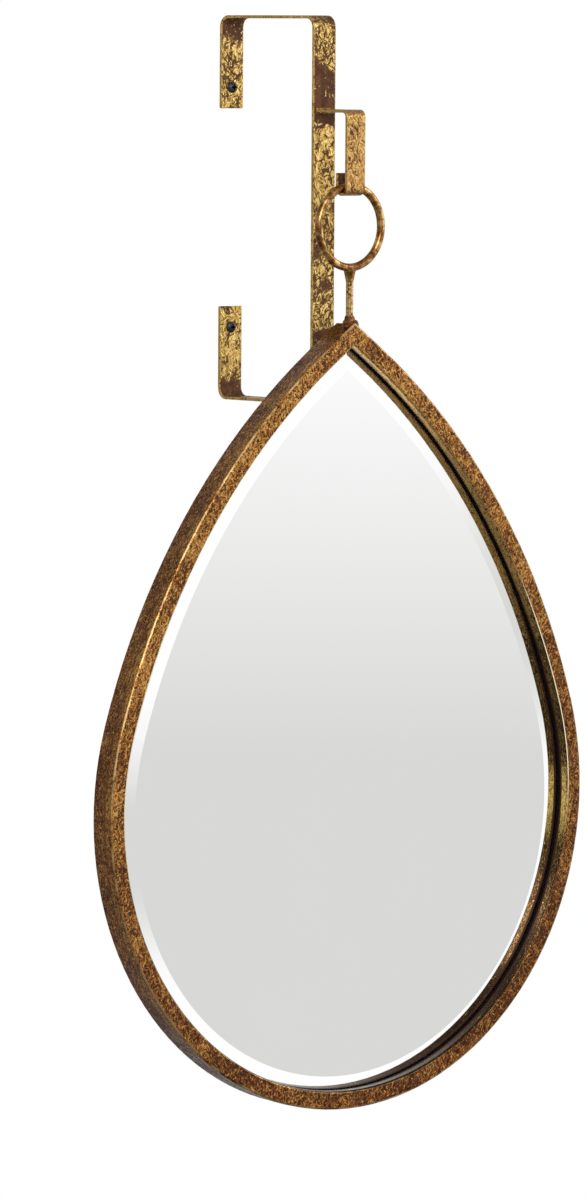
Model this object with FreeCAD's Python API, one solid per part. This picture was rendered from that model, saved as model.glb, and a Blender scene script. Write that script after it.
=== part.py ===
# Teardrop wall mirror that hangs by a ring from a hooked wall bracket, in millimetres.
# +X is the viewer's right, +Y runs into the wall and +Z is up.
# The origin is on the face of the wall, midway between the two wall screws.

import FreeCAD
import Part

import math
import os

# Teardrop frame. With the stem and ring it hangs 611.8 tall
FRAME_WIDTH = 406.4
FRAME_HEIGHT = 520.0
FRAME_DEPTH = 19.05
SIDE_RADIUS = 465.0
APEX_STRAIGHT = 30.0

# Frame section: a rounded front bar, with a thin rim behind it that makes the rebate
BAR_WIDTH = 12.2
BAR_DEPTH = 7.2
BAR_ROUNDING = 1.6
RIM_INSET = 0.8
RIM_WALL = 3.0
RIM_ROUNDING = 0.6

# Bevelled glass and what keeps it in the rebate
REBATE_CLEARANCE = 0.5
FELT_THICKNESS = 2.1
FELT_SETBACK = 0.8
GLASS_THICKNESS = 4.0
GLASS_EDGE = 2.0
BEVEL_WIDTH = 21.5
FIELD_DROP = 4.6
SEAT_CLEARANCE = 0.1
PAD_THICKNESS = 1.0
BOARD_THICKNESS = 3.0
TAB_THICKNESS = 1.0
TAB_WIDTH = 12.0
TAB_REACH = 15.0
TAB_HEIGHT = 2.6
TAB_BEND = 0.6
BOTTOM_TABS = 5
BOTTOM_TAB_STEP = 42.0
SIDE_TABS = 2

# Hanger welded to the frame's apex
RING_DIAMETER = 58.6
RING_WIRE = 5.3
RING_CLEARANCE = 0.3
STEM_DIAMETER = 4.8
STEM_LENGTH = 33.2
STEM_BEHIND_FACE = 6.3
RING_WELD_SPREAD = 4.4
RING_WELD_HEIGHT = 7.0
APEX_HEAP_RADIUS = 4.3
APEX_LUMP_RADIUS = 2.7
APEX_LUMP_APART = 3.8
APEX_LUMP_DROP = 2.4
APEX_LUMP_FORWARD = 1.6

# Wall bracket of flat bar
BRACKET_HEIGHT = 256.0
BRACKET_STANDOFF = 97.5
BRACKET_WIDTH = 19.0
BRACKET_BEND = 6.0
STRIP_THICKNESS = 2.0
STRIP_EDGE = 0.4
WALL_TAB_LENGTH = 62.0
WALL_TAB_ROUNDING = 0.8

# Hook of narrower flat bar, welded to the front of the bracket
HOOK_WIDTH = 16.0
HOOK_BELOW_TOP = 61.5
HOOK_REACH = 32.5
HOOK_DROP = 56.4
HOOK_BEND = 3.0
HOOK_CHANNEL = 7.4
HOOK_LIP = 14.9
HOOK_WELD_LEG = 1.5
HOOK_WELD_CROWN = 0.9

# Wall screws, one in each wall tab
SCREW_FROM_TAB_END = 14.0
SCREW_DIAMETER = 4.2
SCREW_NECK = 4.6
SCREW_LENGTH = 38.0
SCREW_TIP = 6.0
SCREW_HOLE = 5.0
SCREW_HEAD_DIAMETER = 7.6
SCREW_HEAD_HEIGHT = 2.8
SCREW_HEAD_RIM = 0.7
RECESS_SPAN = 4.2
RECESS_WIDTH = 0.9
RECESS_DEPTH = 1.6

Vector = FreeCAD.Vector
X_AXIS = Vector(1, 0, 0)
Y_AXIS = Vector(0, 1, 0)
Z_AXIS = Vector(0, 0, 1)
TOLERANCE = 1e-6

# Height of the wall screws above and below the origin
TAB_END_Z = BRACKET_HEIGHT / 2 - WALL_TAB_LENGTH
SCREW_Z = TAB_END_Z + SCREW_FROM_TAB_END

# Where the hook is: its leg in front, its channel, and its lip on the wall side
HOOK_ARM_TOP = BRACKET_HEIGHT / 2 - HOOK_BELOW_TOP
HOOK_BOTTOM = HOOK_ARM_TOP - HOOK_DROP
HOOK_FLOOR = HOOK_BOTTOM + STRIP_THICKNESS
LEG_FRONT = -BRACKET_STANDOFF - HOOK_REACH
CHANNEL_Y = LEG_FRONT + STRIP_THICKNESS + HOOK_CHANNEL / 2

# The ring lies in the channel and rests on the two side edges of the hook
RING_RADIUS = (RING_DIAMETER - RING_WIRE) / 2
RING_HOLE_RADIUS = RING_RADIUS - RING_WIRE / 2
RING_SEAT_RISE = math.sqrt(RING_HOLE_RADIUS ** 2 - (HOOK_WIDTH / 2) ** 2)
RING_Z = HOOK_FLOOR + RING_CLEARANCE - RING_SEAT_RISE

# The frame hangs below the ring, round the centre of its circular bottom
FRAME_FRONT = CHANNEL_Y - STEM_BEHIND_FACE
APEX_Z = RING_Z - RING_DIAMETER / 2 - STEM_LENGTH
BOTTOM_RADIUS = FRAME_WIDTH / 2
APEX_RISE = FRAME_HEIGHT - BOTTOM_RADIUS
CENTRE_Z = APEX_Z - APEX_RISE

# The side arcs touch the bottom circle at JOIN_ANGLE above the horizontal.
# At ARC_END they run out into straight ends, which meet at the apex
ARC_SHIFT = SIDE_RADIUS - BOTTOM_RADIUS
ARC_TO_APEX = math.hypot(SIDE_RADIUS, APEX_STRAIGHT)
JOIN_SINE = (ARC_TO_APEX ** 2 - ARC_SHIFT ** 2 - APEX_RISE ** 2) / (2 * APEX_RISE * ARC_SHIFT)
JOIN_ANGLE = math.asin(JOIN_SINE)
ARC_X = -ARC_SHIFT * math.cos(JOIN_ANGLE)
ARC_Z = CENTRE_Z - ARC_SHIFT * math.sin(JOIN_ANGLE)
ARC_END = math.atan2(APEX_Z - ARC_Z, -ARC_X) - math.atan2(APEX_STRAIGHT, SIDE_RADIUS)

# Depths of the layers in the rebate, from the front bar's back to the wall side
REBATE_INSET = RIM_INSET + RIM_WALL
GLASS_INSET = REBATE_INSET + REBATE_CLEARANCE
BAR_BACK = FRAME_FRONT + BAR_DEPTH
BEVEL_RISE = GLASS_THICKNESS - GLASS_EDGE
FELT_INNER = BAR_WIDTH - FELT_SETBACK
BEVEL_AT_FELT = BEVEL_RISE * (FELT_INNER - GLASS_INSET) / BEVEL_WIDTH
GLASS_BACK = BAR_BACK + FELT_THICKNESS + GLASS_EDGE + BEVEL_AT_FELT
PAD_BACK = GLASS_BACK + PAD_THICKNESS
BOARD_BACK = PAD_BACK + BOARD_THICKNESS
FRAME_BACK = FRAME_FRONT + FRAME_DEPTH


def side_point(angle, inset, y):
    """Point on the right-hand side arc."""
    radius = SIDE_RADIUS - inset
    return Vector(ARC_X + radius * math.cos(angle), y, ARC_Z + radius * math.sin(angle))


def bottom_point(angle, inset, y):
    """Point on the circular bottom."""
    radius = BOTTOM_RADIUS - inset
    return Vector(radius * math.cos(angle), y, CENTRE_Z + radius * math.sin(angle))


def apex_point(inset, y):
    """Point in the middle of the mirror where the two straight ends meet."""
    end = side_point(ARC_END, inset, y)
    return end + Vector(-end.x, 0, end.x / math.tan(ARC_END))


def flipped(point):
    """The same point on the left-hand side."""
    return Vector(-point.x, point.y, point.z)


def teardrop(inset, y):
    """Closed teardrop outline, moved inwards by inset, in the plane at y."""
    apex = apex_point(inset, y)
    end = side_point(ARC_END, inset, y)
    side = side_point((ARC_END + JOIN_ANGLE) / 2, inset, y)
    join = bottom_point(JOIN_ANGLE, inset, y)
    lower = bottom_point((JOIN_ANGLE - math.pi / 2) / 2, inset, y)
    lowest = bottom_point(-math.pi / 2, inset, y)
    edges = [
        Part.LineSegment(apex, end).toShape(),
        Part.Arc(end, side, join).toShape(),
        Part.Arc(join, lower, lowest).toShape(),
        Part.Arc(lowest, flipped(lower), flipped(join)).toShape(),
        Part.Arc(flipped(join), flipped(side), flipped(end)).toShape(),
        Part.LineSegment(flipped(end), apex).toShape(),
    ]
    return Part.Wire(edges)


def teardrop_plate(inset, front, back):
    """Flat plate with the teardrop outline."""
    return Part.Face(teardrop(inset, front)).extrude(Vector(0, back - front, 0))


def edges_at(shape, y):
    """Edges that lie wholly in the plane at y."""
    return [e for e in shape.Edges if abs(e.BoundBox.YMin - y) + abs(e.BoundBox.YMax - y) < TOLERANCE]


def bent_strip(corners, bends, width):
    """Flat bar bent in the YZ plane. Corners lie on its middle line, each bend has a middle radius."""
    points = [Vector(0, y, z) for y, z in corners]
    half = STRIP_THICKNESS / 2
    headings = [(b - a).normalize() for a, b in zip(points, points[1:])]
    sides = [heading.cross(X_AXIS) for heading in headings]

    def boundary(offset):
        """One long edge of the strip's side view, as straight runs and arcs."""
        edges = []
        start = points[0] + sides[0] * offset
        for i, bend in enumerate(bends):
            turn = headings[i].getAngle(headings[i + 1])
            trim = bend * math.tan(turn / 2)
            enter = points[i + 1] - headings[i] * trim
            leave = points[i + 1] + headings[i + 1] * trim
            inward = (headings[i + 1] - headings[i]).normalize()
            centre = points[i + 1] + inward * (bend / math.cos(turn / 2))
            middle = centre - inward * bend
            side = (sides[i] + sides[i + 1]).normalize()
            first = enter + sides[i] * offset
            last = leave + sides[i + 1] * offset
            if first.distanceToPoint(start) > TOLERANCE:
                edges.append(Part.LineSegment(start, first).toShape())
            edges.append(Part.Arc(first, middle + side * offset, last).toShape())
            start = last
        edges.append(Part.LineSegment(start, points[-1] + sides[-1] * offset).toShape())
        return edges

    near = boundary(half)
    far = boundary(-half)
    caps = [
        Part.LineSegment(points[0] + sides[0] * half, points[0] - sides[0] * half).toShape(),
        Part.LineSegment(points[-1] + sides[-1] * half, points[-1] - sides[-1] * half).toShape(),
    ]
    outline = Part.Wire(Part.__sortEdges__(near + far + caps))
    outline.translate(Vector(-width / 2, 0, 0))
    return Part.Face(outline).extrude(Vector(width, 0, 0))


def round_long_edges(bar, width):
    """Rolled bar has slightly rounded long edges."""
    def is_long(edge):
        on_side = edge.BoundBox.XLength < TOLERANCE and abs(abs(edge.BoundBox.XMin) - width / 2) < TOLERANCE
        return on_side and edge.Length > 1.5 * STRIP_THICKNESS
    return bar.makeFillet(STRIP_EDGE, [e for e in bar.Edges if is_long(e)])


def wall_bracket():
    """C-shaped flat bar with two tabs on the wall, each drilled for a screw."""
    half = STRIP_THICKNESS / 2
    top = BRACKET_HEIGHT / 2 - half
    front = -BRACKET_STANDOFF + half
    upper = [(-half, TAB_END_Z), (-half, top), (front, top)]
    corners = upper + [(y, -z) for y, z in reversed(upper)]
    bar = bent_strip(corners, [BRACKET_BEND + half] * 4, BRACKET_WIDTH)
    across = [e for e in bar.Edges if e.BoundBox.XLength + e.BoundBox.ZLength < TOLERANCE]
    ends = [e for e in across if abs(abs(e.CenterOfMass.z) - TAB_END_Z) < TOLERANCE]
    bar = round_long_edges(bar.makeFillet(WALL_TAB_ROUNDING, ends), BRACKET_WIDTH)
    for z in (SCREW_Z, -SCREW_Z):
        start = Vector(0, -2 * STRIP_THICKNESS, z)
        bar = bar.cut(Part.makeCylinder(SCREW_HOLE / 2, 3 * STRIP_THICKNESS, start, Y_AXIS))
    return bar


def hanging_hook():
    """Flat bar bent forward, down, and back up into a short lip on the wall side."""
    half = STRIP_THICKNESS / 2
    arm = HOOK_ARM_TOP - half
    leg = LEG_FRONT + half
    turn = (HOOK_CHANNEL + STRIP_THICKNESS) / 2
    lip = leg + 2 * turn
    low = HOOK_BOTTOM + half
    corners = [(-BRACKET_STANDOFF, arm), (leg, arm), (leg, low), (lip, low), (lip, HOOK_BOTTOM + HOOK_LIP)]
    return round_long_edges(bent_strip(corners, [HOOK_BEND + half, turn, turn], HOOK_WIDTH), HOOK_WIDTH)


def hook_weld():
    """Weld beads in the corners above and below the hook's arm, on the face of the bracket."""
    beads = []
    for z, rise in ((HOOK_ARM_TOP, 1), (HOOK_ARM_TOP - STRIP_THICKNESS, -1)):
        corner = Vector(-HOOK_WIDTH / 2, -BRACKET_STANDOFF, z)
        out = corner + Vector(0, -HOOK_WELD_LEG, 0)
        up = corner + Vector(0, 0, rise * HOOK_WELD_LEG)
        middle = corner + Vector(0, -HOOK_WELD_CROWN, rise * HOOK_WELD_CROWN)
        edges = [
            Part.LineSegment(corner, out).toShape(),
            Part.Arc(out, middle, up).toShape(),
            Part.LineSegment(up, corner).toShape(),
        ]
        beads.append(Part.Face(Part.Wire(edges)).extrude(Vector(HOOK_WIDTH, 0, 0)))
    return Part.makeCompound(beads)


def wall_screw(z):
    """Round-head screw with a cross recess, through the bracket's tab and into the wall."""
    under_head = -STRIP_THICKNESS
    head_radius = SCREW_HEAD_DIAMETER / 2
    shank_radius = SCREW_DIAMETER / 2
    neck_radius = SCREW_NECK / 2
    rim = under_head - SCREW_HEAD_RIM
    crown = under_head - SCREW_HEAD_HEIGHT
    tip = under_head + SCREW_LENGTH
    dome_height = SCREW_HEAD_HEIGHT - SCREW_HEAD_RIM
    dome_radius = (head_radius ** 2 + dome_height ** 2) / (2 * dome_height)
    shoulder = crown + dome_radius - math.sqrt(dome_radius ** 2 - (head_radius / 2) ** 2)
    points = [
        Vector(0, tip, z),
        Vector(shank_radius, tip - SCREW_TIP, z),
        Vector(shank_radius, 0, z),
        Vector(neck_radius, 0, z),
        Vector(neck_radius, under_head, z),
        Vector(head_radius, under_head, z),
        Vector(head_radius, rim, z),
    ]
    edges = [Part.LineSegment(a, b).toShape() for a, b in zip(points, points[1:])]
    top = Vector(0, crown, z)
    edges.append(Part.Arc(points[-1], Vector(head_radius / 2, shoulder, z), top).toShape())
    edges.append(Part.LineSegment(top, points[0]).toShape())
    screw = Part.Face(Part.Wire(edges)).revolve(Vector(0, 0, z), Y_AXIS, 360)
    for span_x, span_z in ((RECESS_SPAN, RECESS_WIDTH), (RECESS_WIDTH, RECESS_SPAN)):
        corner = Vector(-span_x / 2, crown - RECESS_DEPTH, z - span_z / 2)
        screw = screw.cut(Part.makeBox(span_x, 2 * RECESS_DEPTH, span_z, corner))
    return screw


def hanger_ring():
    """Round bar bent into a closed ring."""
    return Part.makeTorus(RING_RADIUS, RING_WIRE / 2, Vector(0, CHANNEL_Y, RING_Z), Y_AXIS)


def frame_bar():
    """Front bar of the frame, bent to the teardrop, with its long edges rounded."""
    hole = teardrop_plate(BAR_WIDTH, FRAME_FRONT, BAR_BACK)
    bar = teardrop_plate(0, FRAME_FRONT, BAR_BACK).cut(hole)
    bar = bar.makeFillet(BAR_ROUNDING, edges_at(bar, FRAME_FRONT))
    outer_back = [e for e in edges_at(bar, BAR_BACK) if e.distToShape(hole)[0] > BAR_WIDTH / 2]
    return bar.makeFillet(RIM_ROUNDING, outer_back)


def frame_rim():
    """Thin band welded behind the front bar, a little inside its outer edge."""
    outer = teardrop_plate(RIM_INSET, BAR_BACK, FRAME_BACK)
    return outer.cut(teardrop_plate(REBATE_INSET, BAR_BACK, FRAME_BACK))


def hanger_stem(ring, bar, rim):
    """Short rod from the ring down to the apex, coped over both."""
    top = RING_Z - RING_RADIUS
    foot = APEX_Z - STEM_DIAMETER / 2
    rod = Part.makeCylinder(STEM_DIAMETER / 2, top - foot, Vector(0, CHANNEL_Y, foot), Z_AXIS)
    return rod.cut(ring).cut(bar).cut(rim)


def ring_weld(ring, stem):
    """Weld metal that spreads from the stem to the ring."""
    ring_underside = RING_Z - RING_DIAMETER / 2
    base = Vector(0, CHANNEL_Y, ring_underside - RING_WELD_HEIGHT)
    height = RING_WELD_HEIGHT + RING_WIRE / 2
    flare = Part.makeCone(STEM_DIAMETER / 2, RING_WELD_SPREAD, height, base, Z_AXIS)
    return flare.cut(ring).cut(stem)


def apex_weld(stem, bar, rim):
    """Weld metal heaped round the foot of the stem, with a lump that has run down each side."""
    foot = Vector(0, CHANNEL_Y, APEX_Z)
    heap = Part.makeSphere(APEX_HEAP_RADIUS, foot)
    for side in (-APEX_LUMP_APART, APEX_LUMP_APART):
        place = foot + Vector(side, -APEX_LUMP_FORWARD, -APEX_LUMP_DROP)
        heap = heap.fuse(Part.makeSphere(APEX_LUMP_RADIUS, place))
    return heap.cut(stem).cut(bar).cut(rim)


def field_outline():
    """Inner edge of the bevel. It is stretched down from its apex, so the bevel narrows to the bottom."""
    inset = GLASS_INSET + BEVEL_WIDTH
    outline = teardrop(inset, GLASS_BACK - GLASS_THICKNESS)
    apex = apex_point(inset, 0).z
    stretch = 1 + FIELD_DROP / (apex - bottom_point(-math.pi / 2, inset, 0).z)
    taller = FreeCAD.Matrix()
    taller.A33 = stretch
    taller.A34 = apex * (1 - stretch)
    return outline.transformGeometry(taller)


def mirror_glass():
    """Silvered glass with a wide bevel, which faces the back of the front bar."""
    edge_front = GLASS_BACK - GLASS_EDGE
    plate = teardrop_plate(GLASS_INSET, edge_front, GLASS_BACK)
    bevel = Part.makeLoft([teardrop(GLASS_INSET, edge_front), field_outline()], True, True)
    return plate.fuse(bevel).removeSplitter()


def glazing_felt(glass):
    """Felt strip between the front bar and the glass, on the bar's back and on the bevel."""
    felt = teardrop_plate(GLASS_INSET, BAR_BACK, GLASS_BACK)
    return felt.cut(teardrop_plate(FELT_INNER, BAR_BACK, GLASS_BACK)).cut(glass)


def retaining_tab(place, inward):
    """Bent steel tab, welded inside the rim and folded over the back of the board."""
    across = inward.cross(Y_AXIS)
    wall = place - across * (TAB_WIDTH / 2)
    outer = [
        wall,
        wall + Y_AXIS * TAB_HEIGHT,
        wall + Y_AXIS * TAB_HEIGHT + inward * TAB_THICKNESS,
        wall + Y_AXIS * TAB_THICKNESS + inward * TAB_THICKNESS,
        wall + Y_AXIS * TAB_THICKNESS + inward * TAB_REACH,
        wall + inward * TAB_REACH,
    ]
    tab = Part.Face(Part.makePolygon(outer + [outer[0]])).extrude(across * TAB_WIDTH)
    corner = wall + (inward + Y_AXIS) * TAB_THICKNESS + across * (TAB_WIDTH / 2)
    bend = [e for e in tab.Edges if e.CenterOfMass.distanceToPoint(corner) < TOLERANCE]
    return tab.makeFillet(TAB_BEND, bend)


def tab_places():
    """Middle of each tab's foot on the board, at the rim's inner face, with its inward direction."""
    def seat(centre, radius, angle):
        """A flat tab stands inside a round rim at the depth of its own chord."""
        chord = math.sqrt(radius ** 2 - (TAB_WIDTH / 2) ** 2) - SEAT_CLEARANCE
        outward = Vector(math.cos(angle), 0, math.sin(angle))
        return centre + outward * chord, outward * -1

    places = []
    centre = Vector(0, BOARD_BACK, CENTRE_Z)
    for i in range(BOTTOM_TABS):
        angle = math.radians(-90 + BOTTOM_TAB_STEP * (i - (BOTTOM_TABS - 1) / 2))
        places.append(seat(centre, BOTTOM_RADIUS - REBATE_INSET, angle))
    arc_centre = Vector(ARC_X, BOARD_BACK, ARC_Z)
    span = ARC_END - JOIN_ANGLE
    for i in range(SIDE_TABS):
        angle = JOIN_ANGLE + span * (i + 0.5) / SIDE_TABS
        place, inward = seat(arc_centre, SIDE_RADIUS - REBATE_INSET, angle)
        places.append((place, inward))
        places.append((flipped(place), flipped(inward)))
    return places


def build():
    """All the pieces by name."""
    ring = hanger_ring()
    bar = frame_bar()
    rim = frame_rim()
    stem = hanger_stem(ring, bar, rim)
    glass = mirror_glass()
    parts = {
        "wall_bracket": wall_bracket(),
        "hanging_hook": hanging_hook(),
        "hook_weld": hook_weld(),
        "upper_wall_screw": wall_screw(SCREW_Z),
        "lower_wall_screw": wall_screw(-SCREW_Z),
        "hanger_ring": ring,
        "hanger_stem": stem,
        "ring_weld": ring_weld(ring, stem),
        "apex_weld": apex_weld(stem, bar, rim),
        "frame_bar": bar,
        "frame_rim": rim,
        "glazing_felt": glazing_felt(glass),
        "mirror_glass": glass,
        "backing_pad": teardrop_plate(GLASS_INSET, GLASS_BACK, PAD_BACK),
        "backing_board": teardrop_plate(GLASS_INSET, PAD_BACK, BOARD_BACK),
    }
    for number, (place, inward) in enumerate(tab_places(), start=1):
        parts[f"retaining_tab_{number}"] = retaining_tab(place, inward)
    return parts


os.makedirs("parts", exist_ok=True)
for name, shape in build().items():
    shape.exportStep(f"parts/{name}.step")
    print(f"{name:20s} solids {len(shape.Solids)} volume {shape.Volume:10.1f} valid {shape.isValid()}")
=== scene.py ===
# Teardrop wall mirror that hangs by a ring from a hooked wall bracket.
# Sizes are in metres, with +X to the viewer's right, +Y into the wall and +Z up.

import bpy
import math
from mathutils import Matrix, Vector


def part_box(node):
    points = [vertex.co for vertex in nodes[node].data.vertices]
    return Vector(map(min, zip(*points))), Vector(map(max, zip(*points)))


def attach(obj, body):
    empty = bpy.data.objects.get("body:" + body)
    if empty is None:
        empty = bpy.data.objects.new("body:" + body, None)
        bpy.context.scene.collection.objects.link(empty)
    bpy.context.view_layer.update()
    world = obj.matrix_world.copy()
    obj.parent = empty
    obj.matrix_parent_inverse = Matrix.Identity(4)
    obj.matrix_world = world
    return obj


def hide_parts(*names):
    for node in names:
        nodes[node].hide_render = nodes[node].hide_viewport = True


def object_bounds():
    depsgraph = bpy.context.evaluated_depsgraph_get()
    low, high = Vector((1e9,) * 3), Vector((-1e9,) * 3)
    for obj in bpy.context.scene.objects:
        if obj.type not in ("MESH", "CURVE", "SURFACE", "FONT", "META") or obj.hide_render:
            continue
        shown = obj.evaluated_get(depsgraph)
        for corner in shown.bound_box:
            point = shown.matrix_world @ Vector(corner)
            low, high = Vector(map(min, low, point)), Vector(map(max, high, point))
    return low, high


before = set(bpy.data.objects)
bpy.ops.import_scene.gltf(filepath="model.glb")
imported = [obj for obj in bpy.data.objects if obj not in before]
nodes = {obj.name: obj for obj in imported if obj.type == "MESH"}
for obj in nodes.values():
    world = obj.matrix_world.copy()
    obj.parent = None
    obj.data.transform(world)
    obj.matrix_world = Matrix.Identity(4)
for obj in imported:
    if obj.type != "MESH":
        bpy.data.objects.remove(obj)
cad_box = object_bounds()
bpy.ops.object.select_all(action="DESELECT")


# Wall bracket: a flat steel bar bent into a C, with a tab at each end that is screwed to the wall.
# Brass leaf lies on a red-brown ground coat. It has crinkled all over, and it is missing in the upper tab's
# bend, round the hook's weld and at the foot of the strap, where the ground shows; in the lower tab's bend
# the brown ground is painted shade.
LEAF_DEEP = (0.34, 0.185, 0.045, 1)
LEAF_GOLD = (0.58, 0.37, 0.108, 1)
LEAF_BRIGHT = (0.86, 0.64, 0.24, 1)
CREASE_BROWN = (0.07, 0.027, 0.01, 1)
GROUND_DARK = (0.08, 0.03, 0.014, 1)
GROUND_BROWN = (0.145, 0.059, 0.025, 1)

# Places of the mask, the colour under and the colour over in a mix of colours, and of its result.
MIX_SOCKETS = (0, 6, 7)
MIX_RESULT = 2

# The crinkle's strokes: how each is turned, and how much finer it is than the piece's lines per metre.
STROKES = (
    ((0.06, 0.5, 0), 1.0),
    ((-0.07, -0.62, 0), 1.1),
    ((0.05, 1.15, 0), 1.2),
    ((-0.05, -0.12, 0), 1.3))
STROKE_LENGTH = 6.5
STROKE_DETAIL = (1.0, 0.5)
DRIFT_SCALE = 0.22
DRIFT_DETAIL = 1.0
DRIFT_MIDDLE = (0.5, 0.5, 0.5)
DRIFT_REACH = 4.0
WORN_SCALE = 0.1
WORN_DETAIL = (5.0, 0.65)
WORN_EDGE = (0.38, 0.7)
SOUND_CREST = 0.675
CREST_DROP = 0.11
CREASE_EDGE = 0.04
CREASE_SINK = 0.2
TONE_MIDDLE = 0.5
TONE_SPREAD = 1.3
LOWEST_MIDDLE = 0.385

# A pattern is given as its patches per metre, its detail and its roughness.
# An edge is given as the value where a mask starts and the value where it is full.
BRACKET_LINES = 620.0
BRACKET_WEAR = 0.0
GOLD_PLACES = (0.36, 0.5, 0.64)
BARE_PATCHES = (40.0, 5.0, 0.62)
BARE_EDGE = (0.65, 0.7)
LEFT_LEAF_EDGE = (0.72, 0.6)
GROUND_GRAIN = (160.0, 5.0, 0.7)
GROUND_GRAIN_EDGE = (0.4, 0.62)
SPOT_EDGE = (1.0, 0.1)
SPOT_HALF_WIDTH = 0.05
SPOT_HALF_DEPTH = 0.03
RUB_START = 0.0011
RUB_FULL = 0.00033
RUB_TONE = (0.3, 0.55)
CREASE_COVER = 0.92
CREASE_DEPTH = 0.00022
DULL_METAL_LOSS = 0.85
LEAF_ROUGHNESS = 0.28
DULL_ROUGHNESS = 0.26
LEAF_SPECULAR = 0.14


def feed(tree, socket, value):
    """A link or a plain value goes into the socket."""
    if isinstance(value, bpy.types.NodeSocket):
        tree.links.new(value, socket)
    else:
        socket.default_value = value


def add_node(tree, kind, **sockets):
    """A shader node, with a value or a link for each named socket."""
    made = tree.nodes.new("ShaderNode" + kind)
    for name, value in sockets.items():
        feed(tree, made.inputs[name], value)
    return made


def calc(tree, operation, first, second=0.0):
    """One step of arithmetic on two values."""
    step = tree.nodes.new("ShaderNodeMath")
    step.operation = operation
    feed(tree, step.inputs[0], first)
    feed(tree, step.inputs[1], second)
    return step.outputs["Value"]


def plus(tree, first, second):
    """The sum of two values."""
    return calc(tree, "ADD", first, second)


def less(tree, first, second):
    """The first value less the second."""
    return calc(tree, "SUBTRACT", first, second)


def times(tree, first, second):
    """The product of two values, which is the overlap of two masks."""
    return calc(tree, "MULTIPLY", first, second)


def most(tree, first, second):
    """The greater of two values."""
    return calc(tree, "MAXIMUM", first, second)


def flip(tree, mask):
    """One where the mask is nought, and nought where it is one."""
    return less(tree, 1.0, mask)


def vector_step(tree, operation, first, second):
    """One step of arithmetic on two vectors."""
    step = tree.nodes.new("ShaderNodeVectorMath")
    step.operation = operation
    feed(tree, step.inputs[0], first)
    feed(tree, step.inputs[1], second)
    return step.outputs["Value" if operation in ("LENGTH", "DOT_PRODUCT") else "Vector"]


def soft_step(tree, value, start, end):
    """Nought at start, one at end, smooth between them."""
    step = add_node(tree, "MapRange", **{"Value": value, "From Min": start, "From Max": end})
    step.interpolation_type = "SMOOTHSTEP"
    return step.outputs["Result"]


def noise(tree, place, scale, detail, roughness=0.55):
    """Value of a noise, about a half on average."""
    made = add_node(tree, "TexNoise", Vector=place, Scale=scale, Detail=detail, Roughness=roughness)
    return made.outputs["Fac"]


def paint_over(tree, mask, under, over):
    """The colour over, where the mask is one, on the colour under."""
    mix = tree.nodes.new("ShaderNodeMix")
    mix.data_type = "RGBA"
    for index, value in zip(MIX_SOCKETS, (mask, under, over)):
        feed(tree, mix.inputs[index], value)
    return mix.outputs[MIX_RESULT]


def colour_steps(tree, value, steps):
    """Colours along a ramp, as (place, colour) pairs."""
    ramp = add_node(tree, "ValToRGB", Fac=value)
    points = ramp.color_ramp.elements
    points[0].position, points[0].color = steps[0]
    points[1].position, points[1].color = steps[-1]
    for place, tint in steps[1:-1]:
        points.new(place).color = tint
    return ramp.outputs["Color"]


def start_group(name, inputs, outputs):
    """A shader node group with named inputs and outputs."""
    group = bpy.data.node_groups.new(name, "ShaderNodeTree")
    for label, kind in inputs:
        group.interface.new_socket(name=label, in_out="INPUT", socket_type=kind)
    for label in outputs:
        group.interface.new_socket(name=label, in_out="OUTPUT", socket_type="NodeSocketFloat")
    return group, group.nodes.new("NodeGroupInput").outputs, group.nodes.new("NodeGroupOutput").inputs


def start_material(name):
    """A material with its shader and the place on the piece."""
    material = bpy.data.materials.new(name)
    material.use_nodes = True
    tree = material.node_tree
    place = tree.nodes.new("ShaderNodeTexCoord").outputs["Object"]
    return material, tree, tree.nodes["Principled BSDF"].inputs, place


def colour(tree, shader, mask, under, over):
    """The piece's colour, painted over where the mask is one."""
    tree.links.new(paint_over(tree, mask, under, over), shader["Base Color"])


def roughen(tree, shader, least, mask, more):
    """A least roughness, and more of it where the mask is one."""
    tree.links.new(plus(tree, least, times(tree, mask, more)), shader["Roughness"])


def press_in(tree, shader, height, depth):
    """Relief of that depth from a height of nought to one."""
    bump = add_node(tree, "Bump", Height=height, Distance=depth, Strength=1.0)
    tree.links.new(bump.outputs["Normal"], shader["Normal"])


def dress(material, *names):
    """The material on those nodes of the part."""
    for name in names:
        nodes[name].material_slots[0].material = material


crinkle, given, put = start_group(
    "crinkled_leaf",
    [("Vector", "NodeSocketVector"), ("Lines", "NodeSocketFloat"), ("Wear", "NodeSocketFloat")],
    ["Crease", "Tone", "Height"])
lines = given["Lines"]
drift_scale = times(crinkle, lines, DRIFT_SCALE)
drift = add_node(crinkle, "TexNoise", Vector=given["Vector"], Scale=drift_scale, Detail=DRIFT_DETAIL)
drift = vector_step(crinkle, "SUBTRACT", drift.outputs["Color"], DRIFT_MIDDLE)
reach = add_node(crinkle, "CombineXYZ")
for axis in "XYZ":
    crinkle.links.new(calc(crinkle, "DIVIDE", DRIFT_REACH, lines), reach.inputs[axis])
drift = vector_step(crinkle, "MULTIPLY", drift, reach.outputs["Vector"])
pulled = vector_step(crinkle, "ADD", given["Vector"], drift)
highest = 0.0
lowest = 1.0
for turned, finer in STROKES:
    along = add_node(crinkle, "Mapping", Vector=pulled, Rotation=turned, Scale=(1, 1, STROKE_LENGTH))
    along.vector_type = "TEXTURE"
    fold = noise(crinkle, along.outputs["Vector"], times(crinkle, lines, finer), *STROKE_DETAIL)
    highest = most(crinkle, highest, fold)
    lowest = calc(crinkle, "MINIMUM", lowest, fold)
worn = noise(crinkle, given["Vector"], times(crinkle, lines, WORN_SCALE), *WORN_DETAIL)
worn = soft_step(crinkle, plus(crinkle, worn, given["Wear"]), *WORN_EDGE)
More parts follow.
